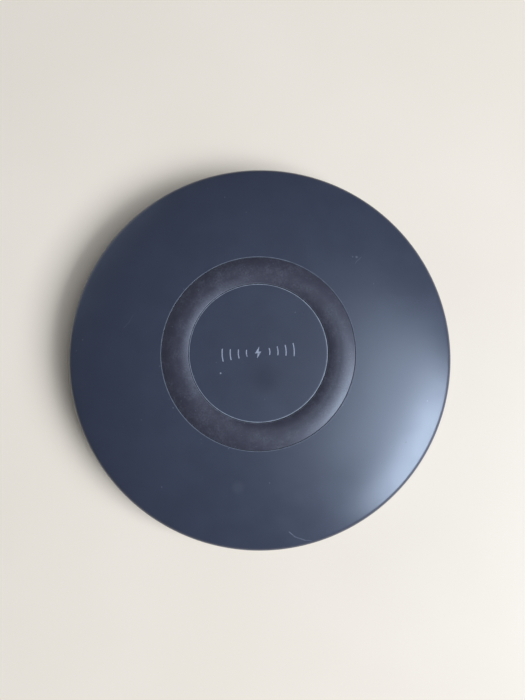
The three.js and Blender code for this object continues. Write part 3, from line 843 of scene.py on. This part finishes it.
def make_base_cover():
    """The bowl, with the foot's groove, the socket's wall and recess, bosses, posts and ribs."""
    groove_top = FOOT_HIGH.z + 0.05
    side = 0.1
    under = rounded(
        [(0, BOTTOM_Z + LABEL_DEPTH), (LABEL_RADIUS, BOTTOM_Z + LABEL_DEPTH, 0.4)]
        + [(LABEL_RADIUS + LABEL_DEPTH, BOTTOM_Z, 0.4), (FOOT_INNER - side, BOTTOM_Z, 0.2)]
        + [(FOOT_INNER - side, groove_top, 0.1), (FOOT_OUTER + side, groove_top, 0.1)]
        + [(FOOT_OUTER + side, BOTTOM_Z, 0.2), (BOTTOM_RADIUS, BOTTOM_Z)]
    )
    outside = bowl(40)[::-1][1:-1] + arc((BOWL_RADIUS - 0.15, BOWL_TOP_Z - 0.15), 0.15, 0, 90, 5)
    inside = bowl(16, WALL) + [(0, FLOOR_Z)]
    mesh = lathe(under + outside + inside)
    base = fine_piece("base_cover", mesh)
    low = FLOOR_Z - SINK
    cheek = 1.5
    half, back = RECESS_HALF + cheek, RECESS_WALL_Y - cheek
    wall = add_object("wall", block((-half, back, low), (half, PAD_RADIUS, BOWL_TOP_Z)))
    inset = 0.05
    bowl_solid = [(r - inset, z) for r, z in bowl(40)[::-1]]
    bowl_solid = [(0, BOTTOM_Z), *bowl_solid, (0, BOWL_TOP_Z)]
    combine(wall, "INTERSECT", lathe(bowl_solid))
    added = [wall.data]
    added += columns(CASE_SCREWS, BASE_BOSS, low, BOSS_MEETING_Z)
    added += columns(BOARD_SCREWS, BOARD_POST, low, BOARD_LOW.z - 0.1)
    half, light_ribs = 4, (-36, -41)
    added += [block((-half, y - 0.5, low), (half, y + 0.5, LIGHT_Z - 0.7)) for y in light_ribs]
    bpy.data.objects.remove(wall)
    combine(base, "UNION", *added)
    height = 2 * (BOWL_TOP_Z - RECESS_LOW)
    pocket = rectangle(2 * RECESS_HALF, height, RECESS_CORNER, (0, BOWL_TOP_Z), 10)
    play = 0.2
    slot = rectangle(2 * LIGHT_HALF + play, LIGHT_HEIGHT + play, LIGHT_HEIGHT / 2, (0, LIGHT_Z), 8)
    head_low, shank_high = 0.8, BOSS_MEETING_Z + PAST
    stepped = [(0, head_low), (HEAD_BORE, head_low), (HEAD_BORE, HEAD_SEAT_Z)]
    stepped += [(SHANK_BORE, HEAD_SEAT_Z), (SHANK_BORE, shank_high), (0, shank_high)]
    removed = [lathe(stepped, 48, x, y) for x, y in CASE_SCREWS]
    removed += columns(BOARD_SCREWS, POST_PILOT, FLOOR_Z, BOARD_LOW.z)
    removed += [prism(slot, -50, -42, "y")]
    removed += [prism(pocket, RECESS_WALL_Y, PAD_RADIUS + PAST, "y")]
    combine(base, "DIFFERENCE", *removed)
    port_play = 0.3
    combine(base, "DIFFERENCE", prism(socket_outline(-port_play), 40, RECESS_WALL_Y + PAST, "y"))
    return smooth(base, 30)


def make_foot_ring():
    profile = section(FOOT_INNER, FOOT_OUTER, 0, FOOT_HIGH.z, 0.35, 0.1)
    return smooth(fine_piece("foot_ring", lathe(profile)))


def make_light_guide():
    """A clear bar with round sides: its outer end follows the bowl, and a flange stops it."""
    inner = LIGHT_HIGH.y
    outline = rectangle(2 * LIGHT_HALF, LIGHT_HEIGHT, LIGHT_HEIGHT / 2 - 0.01, (0, LIGHT_Z), 8)
    inset = 0.03

    def face(share):
        """The outer end's points, drawn in towards its middle by a share."""
        points = []
        for x, z in outline:
            a, b = x * share, LIGHT_Z + (z - LIGHT_Z) * share
            reach = bowl_radius(b) - inset - 0.12 * share**8
            points.append((a, -sqrt(reach**2 - a**2), b))
        return points

    rings = [[(x, inner, z) for x, z in outline]] + [face(s) for s in (1, 0.97, 0.85, 0.6, 0.3)]
    rings.append([(0, -(bowl_radius(LIGHT_Z) - inset), LIGHT_Z)])
    flange = brick((-4.2, -44.7, LIGHT_Z - 0.7), (4.2, -43.7, LIGHT_HIGH.z), 0.25, 0.1)
    guide = fine_piece("light_guide", loft(rings))
    combine(guide, "UNION", flange)
    return smooth(guide)


# -------- socket


def make_usb_shell():
    """A folded steel shell whose mouth is flared."""
    wall = 0.3
    back, front = SHELL_LOW.y, SHELL_HIGH.y
    flare = [(back, 0), (front - 0.8, 0), (front - 0.35, -0.06), (front - 0.05, -0.2), (front, -0.18)]
    flare += [(y, inset + wall) for y, inset in flare[::-1]]
    rings = [[(x, y, z) for x, z in socket_outline(inset)] for y, inset in flare]
    return smooth(fine_piece("usb_shell", loft(rings, closed=True)))


def make_usb_insulator():
    """A plug at the back of the shell, and a tongue with two rails beside the contacts."""
    low, high = box_mm("usb_insulator")
    body_end = low.y + 1.5
    body = prism(socket_outline(0.35), low.y, body_end, "y")
    w, t, rail = 2.1, 0.3, 0.25
    drop = t + 0.13
    tongue = [(-w, -drop), (rail - w, -drop), (rail - w, -t), (w - rail, -t)]
    tongue += [(w - rail, -drop), (w, -drop), (w, t), (-w, t)]
    tongue = [(x, SOCKET_Z + z) for x, z in tongue]
    piece = fine_piece("usb_insulator", body)
    combine(piece, "UNION", prism(tongue, body_end - 0.5, high.y, "y"))
    soften(piece, 0.06)
    return smooth(piece)


def make_contact(node):
    """A flat blade whose tip bends up to the tongue."""
    low, high = box_mm(node)
    bend = 0.35
    knee = high.y - bend
    top = [(low.y, high.z), (knee, high.z), (high.y, high.z)]
    under = [(high.y, high.z - 0.04), (high.y - 0.12, high.z - 0.07), (knee, low.z), (low.y, low.z)]
    blade = prism(top + under, low.x, high.x, "x")
    contact = fine_piece(node, blade)
    soften(contact, 0.02)
    return smooth(contact)


# -------- coil module


def make_coil():
    """Flat spiral of stranded wire: in along the ferrite's groove, out over its edge."""
    groove_z = FERRITE_HIGH.z - 0.75
    pad_z = BOARD_HIGH.z + WIRE / 2 + 0.05
    y = COIL_LEADS[0]
    lead_in = [(LEAD_X, y, pad_z), (-27.6, y, pad_z + 0.3), (-26.3, y, groove_z - 0.3)]
    lead_in += [(x, y, groove_z) for x in (-24.5, -18, -12)]
    lead_in += [(-10.2, 0.5, groove_z + 0.5), (-9.3, -1.1, COIL_Z)]
    step = 12
    spiral = []
    for swept in range(0, TURNS * 360, step):
        radius = COIL_INNER + COIL_PITCH * swept / 360
        turn = radians(COIL_START + swept)
        spiral.append((radius * cos(turn), radius * sin(turn), COIL_Z))
    lead_out = [(-22.3, -7.2, COIL_Z), (-23.8, -8.4, COIL_Z), (-25.5, -8.3, COIL_Z - 0.1)]
    lead_out += [(-27, -7.4, COIL_Z - 1.2), (-27.9, -6.2, pad_z + 0.9), (LEAD_X, COIL_LEADS[1], pad_z)]
    path = spline(lead_in + spiral + lead_out, 3)
    mesh = tube(path, WIRE / 2, 30, strands=6)
    return smooth(fine_piece("transmitter_coil", mesh), 80)


def make_ferrite_plate():
    """The plate under the coil, with a groove from its edge to past its middle for the leads."""
    low, high = FERRITE_LOW.z, FERRITE_HIGH.z
    radius = FERRITE_HIGH.x
    plate = fine_piece("ferrite_plate", lathe(section(0, radius, low, high, 0.2, 0.2)))
    half, depth, end = 1.7, 1.5, 3
    groove = block((-radius - PAST, -half, high - depth), (end, half, high + PAST))
    combine(plate, "DIFFERENCE", groove)
    return smooth(plate, 30)


def make_disc(node, inner=0.0, edge=0.05):
    """A thin turned plate or ring in place of its CAD node, with rounded rims."""
    low, high = box_mm(node)
    profile = section(inner, high.x, low.z, high.z, edge, edge)
    return smooth(fine_piece(node, lathe(profile)))


def make_thermistor():
    """A glossy bead, drawn out along its two thin leads."""
    groove_z = FERRITE_HIGH.z - 1.1
    pad_z = BOARD_HIGH.z + 0.3
    middle = CEILING_Z - 1.1
    wires = []
    for shift in (-0.2, 0.2):
        y = THERMISTOR_Y + shift
        route = [(shift, 0, middle - 0.2), (-1.5, y / 2, groove_z + 0.6), (-4, y, groove_z)]
        route += [(x, y, groove_z) for x in (-14, -25.6)]
        route += [(-27, y, groove_z - 0.8), (LEAD_X, y, pad_z)]
        wires.append(tube(spline(route, 8), 0.17, 10))
    sides = 24
    drop = []
    for turn in np.linspace(-pi / 2, pi / 2, 15)[1:-1]:
        flat = cos(turn)
        drop.append([(x, y, middle + sin(turn)) for x, y in circle(flat, sides)])
    bead = loft([[(0, 0, middle - 1)], *drop, [(0, 0, middle + 1)]])
    return smooth(fine_piece("thermistor", gather([bead], wires)), 50)


# -------- circuit board


def make_board():
    """The board, with copper round its screw holes, test pads and the joints of the leads."""
    low, high = BOARD_LOW.z, BOARD_HIGH.z
    radius = -BOARD_LOW.y
    tongue = BOARD_HIGH.y
    half = 8.5
    reach = degrees(acos(half / radius))
    outline = arc((0, 0), radius, 180 - reach, 360 + reach, 200)
    outline += arc((half - 0.6, tongue - 0.6), 0.6, 0, 90, 6)
    outline += arc((0.6 - half, tongue - 0.6), 0.6, 90, 180, 6)
    board = fine_piece("circuit_board", prism(outline, low, high))
    combine(board, "DIFFERENCE", *columns(BOARD_SCREWS, 1.2, low - PAST, high + PAST))
    film = 0.03
    inner, outer = 1.25, 2.4
    land = [(inner, high), (outer, high), (outer, high + film), (inner, high + film)]
    metal = [lathe(land, 48, x, y) for x, y in BOARD_SCREWS]
    test_pads = [(-22, 14), (-19, 16), (22, 14), (19, 16), (-20, -9), (20, -9), (-6, 35), (6, 35)]
    metal += [cylinder(0.6, low - film, low, x, y, 24) for x, y in test_pads]
    joints = [(y, 1.25) for y in COIL_LEADS]
    joints += [(THERMISTOR_Y + shift, 0.55) for shift in (-0.2, 0.2)]
    for y, size in joints:
        turns = np.linspace(0, pi / 2, 8)[:-1]
        dome_of = [(size * cos(t), high + 0.9 * size * sin(t)) for t in turns]
        metal.append(lathe([(0, high), *dome_of, (0, high + 0.9 * size)], 24, LEAD_X, y))
    attach(board, metal)
    return smooth(board)


def make_chip(node, per_side, sides):
    """A moulded package under the board: tinned pads along its sides and a dot at pin 1."""
    low, high = box_mm(node)
    middle = (low + high) / 2
    half = (high - low) / 2
    shrink = Vector((0.04, 0.04, 0))
    body = brick(low + shrink, high - shrink, 0.12, 0.07)
    pads = []
    deep, tall = 0.14, 0.28
    pitch = 2 * half.x * 0.8 / per_side
    for side in sides:
        along_x = side in "ns"
        sign = 1 if side in "ne" else -1
        for i in range(per_side):
            offset = (i - (per_side - 1) / 2) * pitch
            x = offset if along_x else sign * (half.x - deep)
            y = sign * (half.y - deep) if along_x else offset
            wide = (pitch * 0.28, deep) if along_x else (deep, pitch * 0.28)
            foot = Vector((middle.x + x, middle.y + y, high.z))
            pads.append(brick(foot - Vector((*wide, tall)), foot + Vector((*wide, 0)), 0.04, 0.03, 1))
    piece = fine_piece(node, body)
    dot = 0.11 * half.x
    x, y = low.x + 4 * dot, high.y - 4 * dot
    combine(piece, "DIFFERENCE", cylinder(dot, low.z - PAST, low.z + 0.06, x, y, 24))
    attach(piece, pads)
    return smooth(piece)


def make_capped(node, cap):
    """A ceramic block with tinned caps over its two ends, for capacitors and the resistor."""
    low, high = box_mm(node)
    proud = 0.06
    inset = Vector((cap / 2, proud, proud))
    body = brick(low + inset, high - inset, 0.15, 0.1)
    caps = []
    for start, end in ((low.x, low.x + cap), (high.x - cap, high.x)):
        caps.append(brick((start, low.y, low.z), (end, high.y, high.z), 0.2, 0.15))
    return smooth(fine_piece(node, gather([body], caps)))


def make_inductor():
    """A square ferrite block with the round core set in a groove, and two terminals."""
    node = "power_inductor"
    low, high = box_mm(node)
    middle = (low + high) / 2
    lift = Vector((0, 0, 0.25))
    piece = fine_piece(node, brick(low, high - lift, 0.9, 0.15))
    core, block_hole = 1.75, 1.95
    start, end = low.z - PAST, low.z + 0.3
    groove = [(core, start), (block_hole, start), (block_hole, end), (core, end)]
    combine(piece, "DIFFERENCE", lathe(groove, 64, middle.x, middle.y))
    terminals = []
    for sign in (-1, 1):
        x = middle.x + sign * 1.8
        start, end = (x - 0.6, low.y + 0.9, high.z - 0.35), (x + 0.6, high.y - 0.9, high.z)
        terminals.append(brick(start, end, 0.1, 0.05))
    attach(piece, terminals)
    return smooth(piece)


def make_crystal():
    """A steel lid with a welded flange on a dark ceramic carrier."""
    low, high = box_mm("crystal")
    carrier = brick((low.x, low.y, high.z - 0.3), high, 0.2, 0.04)
    inset = 0.08
    start = (low.x + inset, low.y + inset, high.z - 0.36)
    flange = brick(start, (high.x - inset, high.y - inset, high.z - 0.29))
    inset = 0.25
    start = (low.x + inset, low.y + inset, low.z)
    lid = brick(start, (high.x - inset, high.y - inset, high.z - 0.3), 0.3, 0.12)
    return smooth(fine_piece("crystal", gather([flange, lid], [carrier])))


def make_led():
    """A side-firing light: a white housing round a lens that faces the light guide."""
    low, high = box_mm("status_led")
    housing = brick((low.x, low.y + 0.25, low.z), high, 0.12, 0.08)
    z = (low.z + high.z) / 2
    rings = []
    for share, y in ((1, low.y + 0.4), (1, low.y + 0.15), (0.9, low.y + 0.05), (0.7, low.y)):
        flat = rectangle(2.6 * share, 0.8 * share, 0.2, (0, z), 3)
        rings.append([(x, y, height) for x, height in flat])
    return smooth(fine_piece("status_led", gather([housing], [loft(rings)])))


# -------- screws


CASE_SCREW = {"head_radius": 2.1, "head_height": 1.5, "core": 0.98, "thread": 1.27, "pitch": 0.8}
BOARD_SCREW = {"head_radius": 1.7, "head_height": 0.8, "core": 0.7, "thread": 0.92, "pitch": 0.55}


def make_screw(length, head_radius, head_height, core, thread, pitch):
    """A pan-head screw with a cross recess, its head at the bottom and its tip up."""
    crown = 0.35 * head_height
    turns = np.linspace(-pi / 2, 0, 8)
    head = [(head_radius * (0.72 + 0.28 * cos(t)), crown + crown * sin(t)) for t in turns]
    head += [(head_radius, head_height - 0.08), (head_radius - 0.08, head_height), (0, head_height)]
    screw = add_object("screw", lathe([(0, 0), *head], 48))
    arm, half, depth = 0.6 * head_radius, 0.13 * head_radius, 0.6 * head_height
    for turn in (0, 90):
        wide = [(-arm, 0), (arm, 0), (0.55 * arm, depth), (-0.55 * arm, depth)]
        blade = prism([(a, z - 0.01) for a, z in wide], -half, half, "y")
        blade.transform(Matrix.Rotation(radians(turn), 4, "Z"))
        combine(screw, "DIFFERENCE", blade)
    sides, per_turn = 24, 8
    shank = length - head_height
    rings = []
    for i in range(int(shank / pitch * per_turn) + 1):
        along = i * pitch / per_turn
        taper = min(1, 0.45 + (shank - along) / (1.6 * pitch))
        start = min(1, along / pitch)
        ring = []
        for j in range(sides):
            phase = (along / pitch - j / sides) % 1
            crest = max(0, 1 - abs(phase - 0.5) / 0.28) * start
            reach = (core + (thread - core) * crest) * taper
            turn = 2 * pi * j / sides
            z = head_height - 0.02 + along
            ring.append((reach * cos(turn), reach * sin(turn), z))
        rings.append(ring)
    combine(screw, "UNION", loft(rings))
    mesh = screw.data
    bpy.data.objects.remove(screw)
    return mesh


def place_screws(nodes, sizes, upside_down=False):
    """A screw in place of each node, each stopped at a turn of its own."""
    made = []
    low, high = box_mm(nodes[0])
    mesh = make_screw(high.z - low.z, **sizes)
    for node in nodes:
        low, high = box_mm(node)
        copy = mesh.copy()
        if upside_down:
            copy.transform(Matrix.Rotation(pi, 4, "X"))
        copy.transform(Matrix.Rotation(rng.uniform(0, pi), 4, "Z"))
        middle = (low + high) / 2
        place = Vector((middle.x, middle.y, high.z if upside_down else low.z))
        copy.transform(Matrix.Translation(place * MM))
        made.append(smooth(fine_piece(node, copy), 35))
    bpy.data.meshes.remove(mesh)
    return made


# -------- make the pieces

STEEL = {"metallic": 1.0, "grain": 0.2, "depth": 0.004}
TIN = mottled("tin", TIN_COLOUR, 0.34, 0.15, 0.006, 1.5, metallic=1.0)
SCREW_STEEL = mottled("screw_steel", (0.34, 0.34, 0.35), 0.33, patch=1.4, **STEEL)
SOCKET_STEEL = mottled("socket_steel", (0.55, 0.55, 0.54), 0.28, patch=2, stretch=(1, 0.1, 1), **STEEL)
GOLD = mottled("contact_gold", (0.78, 0.55, 0.2), 0.22, 0.12, 0.003, 1, stretch=(1, 0.15, 1), metallic=1.0)
COPPER = mottled("coil_copper", (0.5, 0.19, 0.08), 0.32, 0.1, 0.006, 3, metallic=0.9, coat_weight=0.5)
ALUMINIUM = mottled("shield_aluminium", (0.62, 0.64, 0.66), 0.36, 0.3, 0.008, 7, stretch=(0.06, 1, 1),
                    metallic=1.0)
FERRITE_DARK = mottled("ferrite", (0.02, 0.02, 0.022), 0.62, 0.22, 0.02, 5, 2.2)
ADHESIVE = mottled("adhesive", (0.6, 0.56, 0.47), 0.7, 0.5, 0.02, 6, 1.2, (0.3, 1, 1))
EPOXY = mottled("thermistor_resin", (0.012, 0.012, 0.014), 0.16, 0.5, 0.01, 1, 1.8, coat_weight=0.4)
LEAD_SLEEVE = mottled("lead_sleeve", (0.45, 0.03, 0.02), 0.45, 0.2, 0.006, 2)
RESIN = mottled("chip_resin", (0.010, 0.010, 0.011), 0.5, 0.12, 0.012, 2, 2.0)
CERAMIC = mottled("capacitor_ceramic", (0.36, 0.23, 0.12), 0.48, 0.14, 0.01, 2, 1.35)
CARRIER = mottled("crystal_carrier", (0.06, 0.045, 0.04), 0.6, 0.15, 0.012, 1.5)
SOCKET_PLASTIC = mottled("socket_plastic", (0.009, 0.009, 0.011), 0.42, 0.16, 0.008, 1.5, 1.8)
LED_HOUSING = mottled("led_housing", (0.78, 0.78, 0.74), 0.4, 0.15, 0.006, 1.2, 1.1)
LED_LENS = mottled("led_lens", (0.75, 0.6, 0.16), 0.2, 0.3, 0.01, 1, 1.15, transmission_weight=0.3)
CLEAR = mottled("light_guide", (0.72, 0.76, 0.8), 0.3, 0.25, 0.006, 3, 1.1, transmission_weight=0.55)


def make_pieces():
    """Every piece with its materials, a list of (piece, materials)."""
    made = [
        (make_top_cover(), [cover_material()]),
        (make_legend(), [ink_material()]),
        (make_grip_ring(), [grip_material()]),
        (make_base_cover(), [base_material()]),
        (make_foot_ring(), [foot_material()]),
        (make_light_guide(), [CLEAR]),
        (make_usb_shell(), [SOCKET_STEEL]),
        (make_usb_insulator(), [SOCKET_PLASTIC]),
        (make_coil(), [COPPER]),
        (make_ferrite_plate(), [FERRITE_DARK]),
        (make_disc("shield_plate"), [ALUMINIUM]),
        (make_disc("coil_adhesive", 9.5, 0.03), [ADHESIVE]),
        (make_thermistor(), [EPOXY, LEAD_SLEEVE]),
        (make_board(), [board_material(), TIN]),
        (make_inductor(), [FERRITE_DARK, TIN]),
        (make_crystal(), [SOCKET_STEEL, CARRIER]),
        (make_led(), [LED_HOUSING, LED_LENS]),
        (make_chip("controller_ic", 8, "nesw"), [RESIN, TIN]),
        (make_chip("regulator_ic", 4, "ew"), [RESIN, TIN]),
        (make_capped("sense_resistor", 0.9), [RESIN, TIN]),
    ]
    made += [(make_contact(node), [GOLD]) for node in numbered("usb_contact", 5)]
    made += [(make_chip(node, 4, "ns"), [RESIN, TIN]) for node in numbered("bridge_fet", 4)]
    for kind, count, cap in (("input_capacitor", 2, 0.55), ("resonant_capacitor", 4, 0.7)):
        for node in numbered(kind, count):
            made.append((make_capped(node, cap), [CERAMIC, TIN]))
    screws = place_screws(CASE_NODES, CASE_SCREW)
    screws += place_screws(BOARD_NODES, BOARD_SCREW, upside_down=True)
    return made + [(screw, [SCREW_STEEL]) for screw in screws]


for piece, materials in make_pieces():
    paint(piece, *materials)
    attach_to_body(piece, "root")

# -------- table, light and camera

TABLE_GAP = 0.001
TABLE_RADIUS = 3000
TABLE_LOW = -20
slab = [(0, -TABLE_GAP), (TABLE_RADIUS, -TABLE_GAP), (TABLE_RADIUS, TABLE_LOW), (0, TABLE_LOW)]
table = add_object("table", lathe(slab, 64))
paint(table, table_material())


def add_light(name, azimuth, elevation, distance, width, height, power, colour):
    """An area light facing the pad: angles in degrees, distance and size in metres, power in watts."""
    data = bpy.data.lights.new(name, "AREA")
    data.shape = "RECTANGLE"
    data.size, data.size_y = width, height
    data.energy = power
    data.color = colour
    light = add_object(name, data)
    a, e = radians(azimuth), radians(elevation)
    way = Vector((cos(a) * cos(e), sin(a) * cos(e), sin(e)))
    light.location = way * distance
    light.rotation_euler = way.to_track_quat("Z", "Y").to_euler()


DAYLIGHT = (0.657, 0.794, 1.0)
add_light("window", -31, 36.7, 1.6, 1.07, 0.66, 41.5, DAYLIGHT)
add_light("side_window", -14, 60.9, 1.9, 1.0, 1.13, 20, DAYLIGHT)
add_light("fill", 140, 16, 1.8, 1.4, 0.6, 4, DAYLIGHT)

# The room is dim, and only the camera sees it as a pale backdrop.
world = bpy.data.worlds.new("room")
world.use_nodes = True
room = world.node_tree.nodes["Background"]
room.inputs["Color"].default_value = (0.8, 0.88, 1.0, 1)
backdrop = world.node_tree.nodes.new("ShaderNodeMapRange")
backdrop.inputs["To Min"].default_value = 0.04
backdrop.inputs["To Max"].default_value = 0.6
seen = world.node_tree.nodes.new("ShaderNodeLightPath").outputs["Is Camera Ray"]
world.node_tree.links.new(seen, backdrop.inputs["Value"])
world.node_tree.links.new(backdrop.outputs["Result"], room.inputs["Strength"])
bpy.context.scene.world = world
bpy.context.scene.view_settings.view_transform = "Standard"

camera_data = bpy.data.cameras.new("camera")
camera_data.sensor_fit = "VERTICAL"
camera_data.sensor_height = 36
camera_data.lens = 27.05
camera_data.clip_start = 0.005
camera = add_object("camera", camera_data)
camera.location = Vector((2.37, -11.40, 142.6)) * MM
target = Vector((0.99, 1.75, 0)) * MM
forward = (target - camera.location).normalized()
up = Vector((0.0778, 0.997, 0))  # the photograph is turned a little
right = forward.cross(up).normalized()
up = right.cross(forward)
camera.rotation_euler = Matrix((right, up, -forward)).transposed().to_euler()
bpy.context.scene.camera = camera

bpy.context.view_layer.update()
